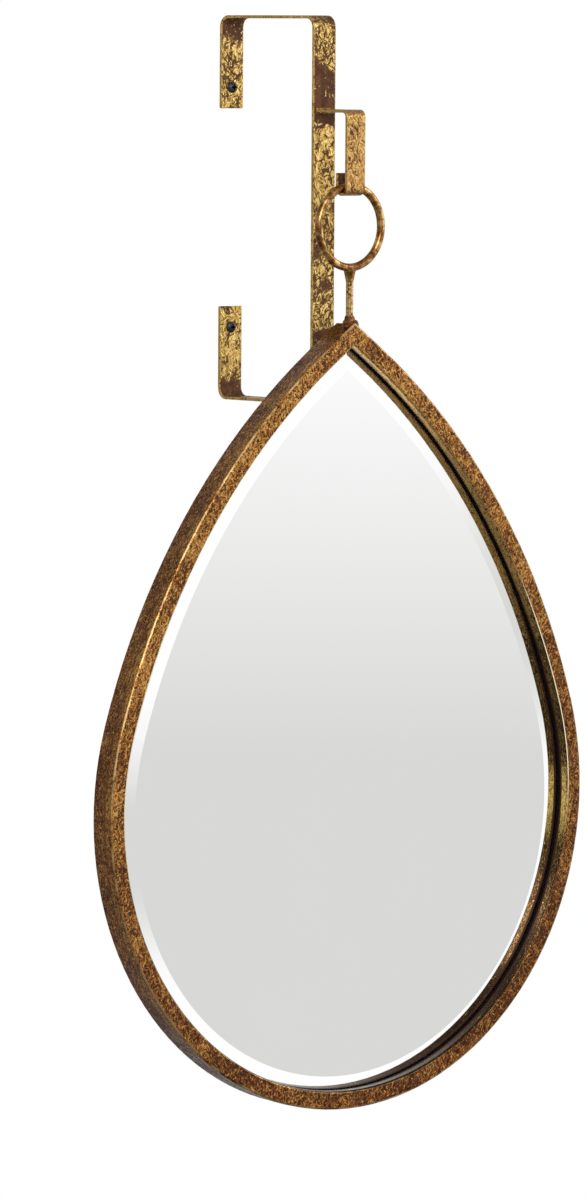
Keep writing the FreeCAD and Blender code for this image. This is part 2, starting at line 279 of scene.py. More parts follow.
crest = less(crinkle, SOUND_CREST, times(crinkle, worn, CREST_DROP))
crease = soft_step(crinkle, highest, crest, plus(crinkle, crest, CREASE_EDGE))
tone = times(crinkle, less(crinkle, LOWEST_MIDDLE, lowest), TONE_SPREAD)
tone = plus(crinkle, TONE_MIDDLE, tone)
crinkle.links.new(crease, put["Crease"])
crinkle.links.new(tone, put["Tone"])
crinkle.links.new(less(crinkle, tone, times(crinkle, crease, CREASE_SINK)), put["Height"])


def lay_leaf(tree, place, lines, wear):
    """The crinkled leaf's outputs at that place on the piece."""
    leaf = add_node(tree, "Group")
    leaf.node_tree = crinkle
    for name, value in (("Vector", place), ("Lines", lines), ("Wear", wear)):
        feed(tree, leaf.inputs[name], value)
    return leaf.outputs


def bar_spot(depth, level, above, half_height, bareness, wear, half_depth=SPOT_HALF_DEPTH):
    """A soft spot across a flat bar, a little above a level, with more bare ground and more wear."""
    return (0, depth, level + above), (SPOT_HALF_WIDTH, half_depth, half_height), bareness, wear


def leaf_material(name, golds, lines, wear, half_width, spots):
    """Worn leaf on a flat bar, in golds from deep to bright, with spots of bare ground and wear."""
    material, tree, shader, place = start_material(name)
    bare = noise(tree, place, *BARE_PATCHES)
    for middle, half_sizes, bareness, more_wear in spots:
        away = vector_step(tree, "DIVIDE", vector_step(tree, "SUBTRACT", place, middle), half_sizes)
        near = soft_step(tree, vector_step(tree, "LENGTH", away, (0, 0, 0)), *SPOT_EDGE)
        bare = plus(tree, bare, times(tree, near, bareness))
        wear = plus(tree, wear, times(tree, near, more_wear))
    leaf = lay_leaf(tree, place, lines, wear)
    left = soft_step(tree, leaf["Tone"], *LEFT_LEAF_EDGE)
    ground = times(tree, soft_step(tree, bare, *BARE_EDGE), left)
    gold = colour_steps(tree, leaf["Tone"], list(zip(GOLD_PLACES, golds)))
    lined = paint_over(tree, times(tree, leaf["Crease"], CREASE_COVER), gold, CREASE_BROWN)
    grain = soft_step(tree, noise(tree, place, *GROUND_GRAIN), *GROUND_GRAIN_EDGE)
    finish = paint_over(tree, ground, lined, paint_over(tree, grain, GROUND_DARK, GROUND_BROWN))
    across = calc(tree, "ABSOLUTE", add_node(tree, "SeparateXYZ", Vector=place).outputs["X"])
    rubbed = soft_step(tree, across, half_width - RUB_START, half_width - RUB_FULL)
    rubbed = times(tree, rubbed, soft_step(tree, leaf["Tone"], *RUB_TONE))
    colour(tree, shader, rubbed, finish, LEAF_GOLD)
    dull = most(tree, ground, leaf["Crease"])
    tree.links.new(flip(tree, times(tree, dull, DULL_METAL_LOSS)), shader["Metallic"])
    roughen(tree, shader, LEAF_ROUGHNESS, dull, DULL_ROUGHNESS)
    shader["Specular IOR Level"].default_value = LEAF_SPECULAR
    press_in(tree, shader, leaf["Height"], CREASE_DEPTH)
    return material


hook_low, hook_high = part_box("hanging_hook")
bracket_low, bracket_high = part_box("wall_bracket")
front = bracket_low.y
wall_side = bracket_high.y
top = bracket_high.z
bottom = bracket_low.z
bracket_spots = [
    bar_spot(front, hook_high.z, above=0.004, half_height=0.026, bareness=0.6, wear=0.1),
    bar_spot(front, hook_high.z, above=-0.032, half_height=0.036, bareness=-0.12, wear=0.02),
    bar_spot(front, top, above=-0.012, half_height=0.045, bareness=0.18, wear=0.52),
    bar_spot(front, top, above=-0.165, half_height=0.06, bareness=0.14, wear=0.25),
    bar_spot(front, top, above=-0.222, half_height=0.026, bareness=0.42, wear=0.2),
    bar_spot(wall_side, top, above=-0.003, half_height=0.022, bareness=0.17, wear=0.3),
    bar_spot(wall_side, top, above=-0.03, half_height=0.045, bareness=0.07, wear=0.17),
    # The last spot's bare brown ground in the lower tab's bend is painted shade.
    bar_spot(wall_side, bottom, above=0.003, half_height=0.018, bareness=0.38, wear=0.3)]
bracket_golds = [LEAF_DEEP, LEAF_GOLD, LEAF_BRIGHT]
bracket_leaf = leaf_material(
    "bracket_leaf", bracket_golds, BRACKET_LINES, BRACKET_WEAR, bracket_high.x, bracket_spots)
dress(bracket_leaf, "wall_bracket")


# Hook and its weld: a narrower flat bar bent forward, down and up again into a lip, welded to the bracket.
# It carries the same leaf, which lies smoother on the front of the leg
# and is worn off in the lip and on the weld.
HOOK_LINES = 600.0
HOOK_WEAR = -0.1
HOOK_WELD_WEAR = 0.1
HOOK_DEEP = (0.32, 0.155, 0.044, 1)
HOOK_GOLD = (0.52, 0.29, 0.09, 1)
HOOK_BRIGHT = (0.7, 0.46, 0.17, 1)
LIP_BEHIND_LEG = 0.0104
HOOK_SPOT_DEPTH = 0.006
# A weld bead has no edges to rub, so they are put a metre off.
FAR_EDGE = 1.0
lip_depth = hook_low.y + LIP_BEHIND_LEG
lip_spot = bar_spot(
    lip_depth, hook_low.z, above=0.01, half_height=0.018,
    bareness=0.4, wear=0.1, half_depth=HOOK_SPOT_DEPTH)
leg_foot = bar_spot(
    hook_low.y, hook_low.z, above=0.0, half_height=0.016,
    bareness=0.04, wear=0.16, half_depth=HOOK_SPOT_DEPTH)
hook_golds = [HOOK_DEEP, HOOK_GOLD, HOOK_BRIGHT]
hook_leaf = leaf_material("hook_leaf", hook_golds, HOOK_LINES, HOOK_WEAR, hook_high.x, [lip_spot, leg_foot])
dress(hook_leaf, "hanging_hook")
weld_leaf = leaf_material("hook_weld_leaf", hook_golds, HOOK_LINES, HOOK_WELD_WEAR, FAR_EDGE, [lip_spot])
dress(weld_leaf, "hook_weld")


# Wall screws: black steel wood screws with a round head and a cross recess, one through each tab.
# The head is pressed and the thread rolled. The blacking is rubbed a little all over, and the cross recess
# is painted darker as painted shade.
HEAD_RADIUS = 0.0038
HEAD_HEIGHT = 0.0028
HEAD_RIM = 0.0007
HEAD_SIDES = 48
HEAD_RINGS = 32
NECK_RADIUS = 0.0023
NECK_END_RADIUS = 0.001305
RECESS_SPAN = 0.0052
RECESS_WIDTH = 0.0016
RECESS_DEPTH = 0.0019
RECESS_TAPER = 0.62
THREAD_CREST = 0.0021
THREAD_ROOT = 0.00145
THREAD_PITCH = 0.0018
THREAD_FLANK = math.radians(85)
THREAD_SIDES = 24
THREAD_STEPS = 20
MERGE_SHARE = 0.1
TIP_LENGTH = 0.006
TIP_BLUNT = 0.04
CREASE_ANGLE = math.radians(35)
SCREW_BLACK = (0.03, 0.03, 0.031, 1)
SCREW_RUBBED = (0.06, 0.059, 0.06, 1)
SCREW_RUB = (900.0, 4.0)
SCREW_RUB_EDGE = (0.45, 0.7)
SCREW_ROUGHNESS = 0.32
SCREW_RUB_ROUGHNESS = 0.2
SCREW_METALLIC = 0.4
SCREW_GRAIN = (2400.0, 2.0)
SCREW_RELIEF = 0.00004
RECESS_SHADE_BLACK = (0.001, 0.001, 0.001, 1)
RECESS_DUST = (0.006, 0.006, 0.006, 1)
DUST_PATCHES = (1500.0, 4.0)
DUST_EDGE = (0.5, 0.75)
RECESS_ROUGHNESS = 0.7
DUST_ROUGHNESS = 0.2
RECESS_SPECULAR = 0.1
screw_low, screw_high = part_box("upper_wall_screw")
screw_z = (screw_low.z + screw_high.z) / 2
crown = screw_low.y
under_head = crown + HEAD_HEIGHT
dome_height = HEAD_HEIGHT - HEAD_RIM
dome_radius = (HEAD_RADIUS ** 2 + dome_height ** 2) / (2 * dome_height)
along_screw = (math.pi / 2, 0, 0)
screw_axis = (0, 0, screw_z)


def apply_place():
    """The active piece's place, turn and size go into its mesh."""
    bpy.ops.object.transform_apply(location=True, rotation=True, scale=True)


def finish_with(piece, kind, **settings):
    """A modifier on the piece, applied."""
    bpy.context.view_layer.objects.active = piece
    change = piece.modifiers.new(kind.lower(), kind)
    for name, value in settings.items():
        setattr(change, name, value)
    bpy.ops.object.modifier_apply(modifier=change.name)


def combine(piece, other, operation):
    """The other piece is joined to the first or cut from it, and goes."""
    finish_with(
        piece, "BOOLEAN", object=other, operation=operation, solver="EXACT", material_mode="TRANSFER")
    bpy.data.meshes.remove(other.data)


def pull_back(distance):
    """The selected edge drawn out towards the screw's tip."""
    bpy.ops.mesh.extrude_region_move(TRANSFORM_OT_translate={"value": (0, distance, 0)})


def narrow(radius, target):
    """The selected ring drawn in from one radius to another, square to the screw."""
    share = target / radius
    bpy.ops.transform.resize(value=(share, 1, share), center_override=screw_axis)


bpy.ops.mesh.primitive_uv_sphere_add(
    segments=HEAD_SIDES, ring_count=HEAD_RINGS, radius=dome_radius,
    location=(0, crown + dome_radius, screw_z), rotation=along_screw)
upper_screw = bpy.context.object
upper_screw.name = "upper_threaded_screw"
apply_place()
bpy.ops.object.mode_set(mode="EDIT")
bpy.ops.mesh.select_all(action="SELECT")
bpy.ops.mesh.bisect(plane_co=(0, under_head - HEAD_RIM, screw_z), plane_no=(0, 1, 0), clear_outer=True)
pull_back(HEAD_RIM)
pull_back(0)
narrow(HEAD_RADIUS, NECK_RADIUS)
pull_back(-under_head)
pull_back(THREAD_PITCH / 2)
narrow(NECK_RADIUS, NECK_END_RADIUS)
bpy.ops.mesh.edge_face_add()
bpy.ops.mesh.select_all(action="SELECT")
bpy.ops.mesh.normals_make_consistent(inside=False)
bpy.ops.object.mode_set(mode="OBJECT")

screw_black, tree, shader, place = start_material("blacked_screw")
rub = soft_step(tree, noise(tree, place, *SCREW_RUB), *SCREW_RUB_EDGE)
colour(tree, shader, rub, SCREW_BLACK, SCREW_RUBBED)
roughen(tree, shader, SCREW_ROUGHNESS, rub, SCREW_RUB_ROUGHNESS)
shader["Metallic"].default_value = SCREW_METALLIC
press_in(tree, shader, noise(tree, place, *SCREW_GRAIN), SCREW_RELIEF)
upper_screw.data.materials.append(screw_black)
# The cross recess is painted near-black as painted shade, with a little dust.
recess_shade, tree, shader, place = start_material("screw_recess")
dust = soft_step(tree, noise(tree, place, *DUST_PATCHES), *DUST_EDGE)
colour(tree, shader, dust, RECESS_SHADE_BLACK, RECESS_DUST)
roughen(tree, shader, RECESS_ROUGHNESS, dust, DUST_ROUGHNESS)
shader["Specular IOR Level"].default_value = RECESS_SPECULAR

for span_x, span_z in ((RECESS_SPAN, RECESS_WIDTH), (RECESS_WIDTH, RECESS_SPAN)):
    bpy.ops.object.select_all(action="DESELECT")
    bpy.ops.mesh.primitive_cube_add(
        size=1, location=(0, crown, screw_z), scale=(span_x, 2 * RECESS_DEPTH, span_z))
    punch = bpy.context.object
    punch.data.materials.append(recess_shade)
    apply_place()
    for point in punch.data.vertices:
        if point.co.y > crown:
            point.co.x *= RECESS_TAPER
            point.co.z = screw_z + (point.co.z - screw_z) * RECESS_TAPER
    combine(upper_screw, punch, "DIFFERENCE")

bpy.ops.object.select_all(action="DESELECT")
bpy.ops.mesh.primitive_circle_add(vertices=THREAD_SIDES, radius=THREAD_ROOT, rotation=along_screw)
thread = bpy.context.object
thread.data.materials.append(screw_black)
apply_place()
for point in thread.data.vertices:
    angle = abs(math.atan2(point.co.x, point.co.z))
    ridge = max(0.0, 1.0 - angle / THREAD_FLANK)
    point.co *= 1.0 + ridge * (THREAD_CREST / THREAD_ROOT - 1.0)
bpy.ops.object.mode_set(mode="EDIT")
bpy.ops.mesh.select_all(action="SELECT")
turn_step = THREAD_PITCH / THREAD_STEPS
for step in range(THREAD_STEPS):
    pull_back(turn_step)
bpy.ops.object.mode_set(mode="OBJECT")
finish_with(thread, "SIMPLE_DEFORM", deform_method="TWIST", deform_axis="Y", angle=2 * math.pi)
turns = int(screw_high.y / THREAD_PITCH)
finish_with(
    thread, "ARRAY", count=turns, use_relative_offset=False, use_constant_offset=True,
    constant_offset_displace=(0, THREAD_PITCH, 0),
    use_merge_vertices=True, merge_threshold=turn_step * MERGE_SHARE)
thread_end = turns * THREAD_PITCH
for point in thread.data.vertices:
    taper = min(1.0, max(TIP_BLUNT, (thread_end - point.co.y) / TIP_LENGTH))
    point.co.x *= taper
    point.co.z *= taper
thread.location = (0, screw_high.y - thread_end, screw_z)
apply_place()
bpy.ops.object.mode_set(mode="EDIT")
bpy.ops.mesh.select_all(action="SELECT")
bpy.ops.mesh.fill_holes(sides=0)
bpy.ops.mesh.normals_make_consistent(inside=False)
bpy.ops.object.mode_set(mode="OBJECT")
combine(upper_screw, thread, "UNION")
bpy.ops.object.select_all(action="DESELECT")
upper_screw.select_set(True)
bpy.context.view_layer.objects.active = upper_screw
bpy.ops.object.shade_smooth_by_angle(angle=CREASE_ANGLE)
lower_screw = upper_screw.copy()
lower_screw.data = upper_screw.data.copy()
lower_screw.name = "lower_threaded_screw"
lower_screw.data.transform(Matrix.Translation((0, 0, -2 * screw_z)))
bpy.context.scene.collection.objects.link(lower_screw)
for screw, stands_for in ((upper_screw, "upper_wall_screw"), (lower_screw, "lower_wall_screw")):
    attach(screw, "bracket")
    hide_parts(stands_for)


# Hanger: a ring of round bar and a short rod, welded together and to the frame's point.
# Both are painted in a bronze gold that is smoother than the leaf, and paler on the rod.
# The weld at the point is a lumpy heap of beads, left browner than the rest.
RING_BROWN = (0.12, 0.047, 0.014, 1)
RING_BRONZE = (0.34, 0.16, 0.042, 1)
RING_GOLD = (0.66, 0.42, 0.16, 1)
STEM_PALE = (0.8, 0.55, 0.24, 1)
WELD_DARK = (0.05, 0.018, 0.009, 1)
WELD_RED = (0.2, 0.075, 0.026, 1)
WELD_GOLD = (0.45, 0.24, 0.07, 1)
RING_STEPS = ((0.4, RING_BROWN), (0.5, RING_BRONZE), (0.6, RING_GOLD))
STEM_STEPS = ((0.42, RING_BROWN), (0.5, RING_GOLD), (0.6, STEM_PALE))
WELD_STEPS = ((0.36, WELD_DARK), (0.52, WELD_RED), (0.68, WELD_GOLD))
RING_MOTTLE = 160.0
STEM_MOTTLE = 420.0
WELD_MOTTLE = 300.0
MOTTLE_DETAIL = (6.0, 0.72)
SPECKS = (950.0, 3.0)
SPECK_EDGE = (0.58, 0.68)
SPECK_COVER = 0.7
SPECK_METAL_LOSS = 0.6
BRONZE_ROUGHNESS = 0.2
MOTTLE_ROUGHNESS = 0.2
BRONZE_SPECULAR = 0.3
RELIEF_FINER = 1.6
RELIEF_DETAIL = 4.0
BAR_RELIEF = 0.00012
WELD_RELIEF = 0.0004
WELD_HEAP = 0.0043
WELD_BEADS = (
    ((0, 0, 0), WELD_HEAP),
    ((0, 0, 0.0026), 0.0034),
    ((0.0036, -0.001, -0.0008), 0.0027),
    ((-0.0038, -0.0012, -0.0022), 0.0028),
    ((0.001, -0.0026, -0.0014), 0.003))
BEAD_SUBDIVISIONS = 4
WELD_GRAIN = 0.0003
WELD_RIPPLE = 0.0022
WELD_RIPPLE_HEIGHT = 0.0016
WELD_SMOOTHING = 0.5
WELD_SMOOTH_PASSES = 3


def hanger_material(name, grain, steps, relief):
    """Mottled bronze paint on round bar or on weld metal."""
    material, tree, shader, place = start_material(name)
    mottle = noise(tree, place, grain, *MOTTLE_DETAIL)
    speck = soft_step(tree, noise(tree, place, *SPECKS), *SPECK_EDGE)
    bronze = colour_steps(tree, mottle, steps)
    colour(tree, shader, times(tree, speck, SPECK_COVER), bronze, RING_BROWN)
    tree.links.new(flip(tree, times(tree, speck, SPECK_METAL_LOSS)), shader["Metallic"])
    roughen(tree, shader, BRONZE_ROUGHNESS, mottle, MOTTLE_ROUGHNESS)
    shader["Specular IOR Level"].default_value = BRONZE_SPECULAR
    press_in(tree, shader, noise(tree, place, grain * RELIEF_FINER, RELIEF_DETAIL), relief)
    return material


ring_bronze = hanger_material("ring_bronze", RING_MOTTLE, RING_STEPS, BAR_RELIEF)
dress(ring_bronze, "hanger_ring", "ring_weld")
stem_bronze = hanger_material("stem_bronze", STEM_MOTTLE, STEM_STEPS, BAR_RELIEF)
dress(stem_bronze, "hanger_stem")
weld_bronze = hanger_material("weld_bronze", WELD_MOTTLE, WELD_STEPS, WELD_RELIEF)
stem_low, stem_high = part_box("hanger_stem")
weld_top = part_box("apex_weld")[1].z
weld_foot = Vector((0, (stem_low.y + stem_high.y) / 2, weld_top - WELD_HEAP))
beads = []
for offset, radius in WELD_BEADS:
    bpy.ops.object.select_all(action="DESELECT")
    bpy.ops.mesh.primitive_ico_sphere_add(
        subdivisions=BEAD_SUBDIVISIONS, radius=radius, location=weld_foot + Vector(offset))
    beads.append(bpy.context.object)
for bead in beads:
    bead.select_set(True)
bpy.ops.object.join()
point_weld = bpy.context.object
point_weld.name = "point_weld"
apply_place()
finish_with(point_weld, "REMESH", mode="VOXEL", voxel_size=WELD_GRAIN)
ripple = bpy.data.textures.new("weld_ripple", "CLOUDS")
ripple.noise_scale = WELD_RIPPLE
finish_with(point_weld, "DISPLACE", texture=ripple, texture_coords="LOCAL", strength=WELD_RIPPLE_HEIGHT)
finish_with(point_weld, "SMOOTH", factor=WELD_SMOOTHING, iterations=WELD_SMOOTH_PASSES)
bpy.ops.object.shade_smooth()
point_weld.data.materials.clear()
point_weld.data.materials.append(weld_bronze)
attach(point_weld, "mirror")
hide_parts("apex_weld")


# Frame: a rounded front bar bent to the teardrop and mitred at its point, with a thin rim welded behind it.
# It has a mottled red-brown and gold finish with a fine crackle, rubbed to gold along the outer edges, and
# painted light and shade that leave it more golden above and browner at the bottom and the right.
# Inside it is smoother, with a painted highlight as a pale line on the edge, a painted highlight streak
# below that, painted shade below the streak and painted shade next to the felt.
FRAME_DARK = (0.05, 0.015, 0.006, 1)
FRAME_RED_BROWN = (0.16, 0.055, 0.02, 1)
FRAME_BRONZE = (0.34, 0.142, 0.034, 1)
FRAME_GOLD = (0.66, 0.365, 0.1, 1)
INNER_DARK = (0.04, 0.022, 0.009, 1)
INNER_BRONZE = (0.22, 0.122, 0.04, 1)
INNER_GOLD = (0.86, 0.6, 0.17, 1)
UPPER_GOLD = (0.97, 0.55, 0.16, 1)
RUBBED_GOLD = (0.8, 0.57, 0.26, 1)
HIGHLIGHT_PALE = (1.0, 0.9, 0.66, 1)
FRONT_STEPS = ((0.38, FRAME_DARK), (0.45, FRAME_RED_BROWN), (0.52, FRAME_BRONZE), (0.6, FRAME_GOLD))
INNER_STEPS = ((0.4, INNER_DARK), (0.5, INNER_BRONZE), (0.63, INNER_GOLD))
FRAME_LINES = 1020.0
FRAME_CLOUDS = (30.0, 4.0, 0.6)
CLOUD_SHARE = 0.22
LEAF_SHARE = 0.78
CRACK_WEAR = 0.2
CLOUD_WEAR = 0.4
CRACK_COVER = 0.85
CRACK_DEPTH = 0.00016
RUB_PATCHES = (55.0, 3.0)
RUB_PATCH_EDGE = (0.36, 0.6)
RUB_COVER = 0.7
CORNER_EVEN = 0.88
INSIDE_EVEN = 0.7
DARK_METAL_LOSS = 0.7
FRAME_ROUGHNESS = 0.17
DARK_ROUGHNESS = 0.35
CORNER_ROUGHNESS = 0.22
FRAME_SPECULAR = 0.12
RIM_GOLD_SHIFT = -0.03
RIM_WEAR = 0.04

# Heights are shares of the frame's height above its middle, slopes are one on a face that looks forward,
# and other places are in metres.
INSIDE_EDGE = (-0.02, -0.1)
CORNER_SIDE = (0.02, 0.3)
CORNER_FRONT = (0.995, 0.88)
BOTTOM_EDGE = (-0.2, -0.45)
# Painted light and shade, as from the upper left: browner at the bottom and the right, more golden above.
SHADE_AT_BOTTOM = 0.045
UPPER_EDGE = (-0.05, 0.2)
LIGHT_ABOVE = 0.018
LIGHT_TO_RIGHT = -0.05
RIGHT_EDGE = (0.08, 0.16)
RIGHT_TOP = (0.16, 0.04)
SHADE_AT_RIGHT = 0.028
# The inner wall's streak beside the widest point is a painted highlight, and the darker band below it is
# painted shade.
STREAK_TOP = (-0.06, -0.1)
STREAK_FOOT = (-0.21, -0.15)
STREAK_HIGHLIGHT_GOLD = 0.12
SHADE_EDGE = (-0.15, -0.23)
SHADE_BROWN = 0.08
ABOVE_EDGE = (0.06, 0.22)
ABOVE_GOLD = 0.05
FLECK_EDGE = (0.4, 0.56)
FLECK_COVER = 0.85
# The pale line along the inner edge is a painted highlight.
LINE_FRONT = (0.998, 0.97)
LINE_SIDE = (0.7, 0.82)
LINE_INSIDE = (-0.004, -0.03)
LINE_FOOT = (-0.17, -0.07)
LINE_TOP = (0.2, 0.1)
GROOVE_START = 0.0026
GROOVE_FULL = 0.0004
GROOVE_END = 0.0015
GROOVE_COVER = 0.75
# The inner wall darkens next to the felt as painted shade, less so above.
FELT_SHADE_START = 0.00208
FELT_SHADE_FULL = 0.0013
FELT_SHADE_LOSS_ABOVE = 0.6
bar_low, bar_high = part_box("frame_bar")
bar_back = bar_high.y
bar_height = bar_high.z - bar_low.z
bar_middle = (bar_low.z + bar_high.z) / 2
frame_middle = Vector((0, (bar_low.y + bar_high.y) / 2, bar_low.z + (bar_high.x - bar_low.x) / 2))


def band(tree, value, rise, fall):
    """One between two soft edges, and nought outside them."""
    return times(tree, soft_step(tree, value, *rise), soft_step(tree, value, *fall))


def frame_spot(tree, place):
    """Where a point of the frame is, how its face is turned, and masks of the inside and the corners."""
    normal = tree.nodes.new("ShaderNodeTexCoord").outputs["Normal"]
    at = add_node(tree, "SeparateXYZ", Vector=place).outputs
    facing = add_node(tree, "SeparateXYZ", Vector=normal).outputs["Y"]
    from_middle = vector_step(tree, "SUBTRACT", place, frame_middle)
    spot = {"across": at["X"], "depth": at["Y"]}
    spot["height"] = calc(tree, "DIVIDE", less(tree, at["Z"], bar_middle), bar_height)
    spot["above"] = soft_step(tree, spot["height"], *ABOVE_EDGE)
    spot["outward"] = vector_step(tree, "DOT_PRODUCT", normal, from_middle)
    spot["inside"] = soft_step(tree, spot["outward"], *INSIDE_EDGE)
    spot["slope"] = times(tree, facing, facing)
    spot["corner"] = band(tree, spot["slope"], CORNER_SIDE, CORNER_FRONT)
    return spot


def frame_mottle(tree, spot, cloud, tone):
    """How golden the finish is, with painted shade that browns it at the bottom and the right, and painted
    light that makes it more golden above, most on the left.
    """
    mottle = plus(tree, times(tree, cloud, CLOUD_SHARE), times(tree, tone, LEAF_SHARE))
    below = soft_step(tree, spot["height"], *BOTTOM_EDGE)
    mottle = less(tree, mottle, times(tree, below, SHADE_AT_BOTTOM))
    upper = soft_step(tree, spot["height"], *UPPER_EDGE)
    gold = plus(tree, times(tree, spot["across"], LIGHT_TO_RIGHT), LIGHT_ABOVE)
    mottle = plus(tree, mottle, times(tree, upper, gold))
    right = soft_step(tree, spot["across"], *RIGHT_EDGE)
    right = times(tree, right, soft_step(tree, spot["height"], *RIGHT_TOP))
    return less(tree, mottle, times(tree, right, SHADE_AT_RIGHT))


def frame_colours(tree, spot, mottle):
    """The front's colours, and the inner wall's with its painted highlight streak, the painted shade below
    it and the gold above.
    """
    streak = band(tree, spot["height"], STREAK_TOP, STREAK_FOOT)
    shade = soft_step(tree, spot["height"], *SHADE_EDGE)
    inner = plus(tree, mottle, times(tree, streak, STREAK_HIGHLIGHT_GOLD))
    inner = less(tree, inner, times(tree, shade, SHADE_BROWN))
    inner = plus(tree, inner, times(tree, spot["above"], ABOVE_GOLD))
    finish = colour_steps(tree, mottle, FRONT_STEPS)
    finish = paint_over(tree, spot["inside"], finish, colour_steps(tree, inner, INNER_STEPS))
    flecked = times(tree, soft_step(tree, mottle, *FLECK_EDGE), FLECK_COVER)
    gilded = times(tree, times(tree, spot["above"], spot["inside"]), flecked)
    return paint_over(tree, gilded, finish, UPPER_GOLD)


def highlight_line_mask(tree, spot):
    """Mask of the painted highlight: a pale line along the inner edge, beside the frame's widest point."""
    inner_edge = soft_step(tree, spot["outward"], *LINE_INSIDE)
    edge = times(tree, inner_edge, band(tree, spot["height"], LINE_FOOT, LINE_TOP))
    return times(tree, band(tree, spot["slope"], LINE_FRONT, LINE_SIDE), edge)


def grime_and_felt_shade(tree, spot):
    """Mask of the grime in the groove between bar and rim, and of the painted shade inside, next to the
    felt.
    """
    groove_front = (bar_back - GROOVE_START, bar_back - GROOVE_FULL)
    groove = band(tree, spot["depth"], groove_front, (bar_back + GROOVE_END, bar_back))
    felt_shade = soft_step(tree, spot["depth"], bar_back - FELT_SHADE_START, bar_back - FELT_SHADE_FULL)
    felt_shade = times(tree, felt_shade, flip(tree, times(tree, spot["above"], FELT_SHADE_LOSS_ABOVE)))
    return most(tree, times(tree, groove, GROOVE_COVER), times(tree, felt_shade, spot["inside"]))


def frame_material(name, gold_shift=0.0, wear=0.0):
    """Mottled frame finish. The gold shift moves it towards gold or towards brown."""
    material, tree, shader, place = start_material(name)
    spot = frame_spot(tree, place)
    cloud = noise(tree, place, *FRAME_CLOUDS)
    wear = less(tree, wear + CRACK_WEAR, times(tree, cloud, CLOUD_WEAR))
    leaf = lay_leaf(tree, place, FRAME_LINES, wear)
    mottle = plus(tree, frame_mottle(tree, spot, cloud, leaf["Tone"]), gold_shift)
    outer = times(tree, spot["corner"], flip(tree, spot["inside"]))
    patchy = soft_step(tree, noise(tree, place, *RUB_PATCHES), *RUB_PATCH_EDGE)
    rubbed = times(tree, times(tree, outer, patchy), RUB_COVER)
    finish = paint_over(tree, rubbed, frame_colours(tree, spot, mottle), RUBBED_GOLD)
    even_corner = times(tree, spot["corner"], CORNER_EVEN)
    crackled = flip(tree, most(tree, even_corner, times(tree, spot["inside"], INSIDE_EVEN)))
    cracks = times(tree, times(tree, leaf["Crease"], CRACK_COVER), crackled)
    dark = most(tree, cracks, grime_and_felt_shade(tree, spot))
    # The pale line is a painted highlight, and is not metallic.
    line = highlight_line_mask(tree, spot)
    colour(tree, shader, line, paint_over(tree, dark, finish, FRAME_DARK), HIGHLIGHT_PALE)
    painted = most(tree, times(tree, dark, DARK_METAL_LOSS), line)
    tree.links.new(flip(tree, painted), shader["Metallic"])
    matt = plus(tree, FRAME_ROUGHNESS, times(tree, outer, CORNER_ROUGHNESS))
    roughen(tree, shader, matt, dark, DARK_ROUGHNESS)
    shader["Specular IOR Level"].default_value = FRAME_SPECULAR
    press_in(tree, shader, times(tree, leaf["Height"], crackled), CRACK_DEPTH)
    return material


dress(frame_material("frame_finish"), "frame_bar")
dress(frame_material("rim_finish", RIM_GOLD_SHIFT, RIM_WEAR), "frame_rim")


# Felt strip and pad: thin black felt that keeps the glass off the metal in front and off the board behind.
# Its fibres lie in all directions and hold a little dust. The strip's near-black is also painted shade, for
# the shaded gap between bar and glass.
FELT_AND_GAP_SHADE_BLACK = (0.004, 0.0035, 0.003, 1)
FELT_DUST = (0.012, 0.01, 0.008, 1)
FELT_FIBRES = (3200.0, 6.0, 0.75)
FELT_DUST_EDGE = (0.45, 0.75)
FELT_ROUGHNESS = 0.85
FELT_FIBRE_ROUGHNESS = 0.12
FELT_SPECULAR = 0.1
FELT_RELIEF = 0.0001
black_felt_and_gap_shade, tree, shader, place = start_material("black_felt_and_gap_shade")
fibre = noise(tree, place, *FELT_FIBRES)
colour(tree, shader, soft_step(tree, fibre, *FELT_DUST_EDGE), FELT_AND_GAP_SHADE_BLACK, FELT_DUST)
roughen(tree, shader, FELT_ROUGHNESS, fibre, FELT_FIBRE_ROUGHNESS)
shader["Specular IOR Level"].default_value = FELT_SPECULAR
press_in(tree, shader, fibre, FELT_RELIEF)
dress(black_felt_and_gap_shade, "glazing_felt", "backing_pad")


# Mirror glass: 4 mm silvered glass cut to the teardrop, with a wide polished bevel all round.
# It lies in the rim behind the felt. It is clean, with the faintest unevenness of polish.
SILVER = (0.94, 0.945, 0.94, 1)
SILVER_HAZED = (0.925, 0.935, 0.93, 1)
HAZE_CLOUDS = (14.0, 5.0, 0.6)
HAZE_ROUGHNESS = 0.03
silvered_glass, tree, shader, place = start_material("silvered_glass")
haze = noise(tree, place, *HAZE_CLOUDS)
colour(tree, shader, haze, SILVER, SILVER_HAZED)
shader["Metallic"].default_value = 1.0
tree.links.new(times(tree, haze, HAZE_ROUGHNESS), shader["Roughness"])
dress(silvered_glass, "mirror_glass")


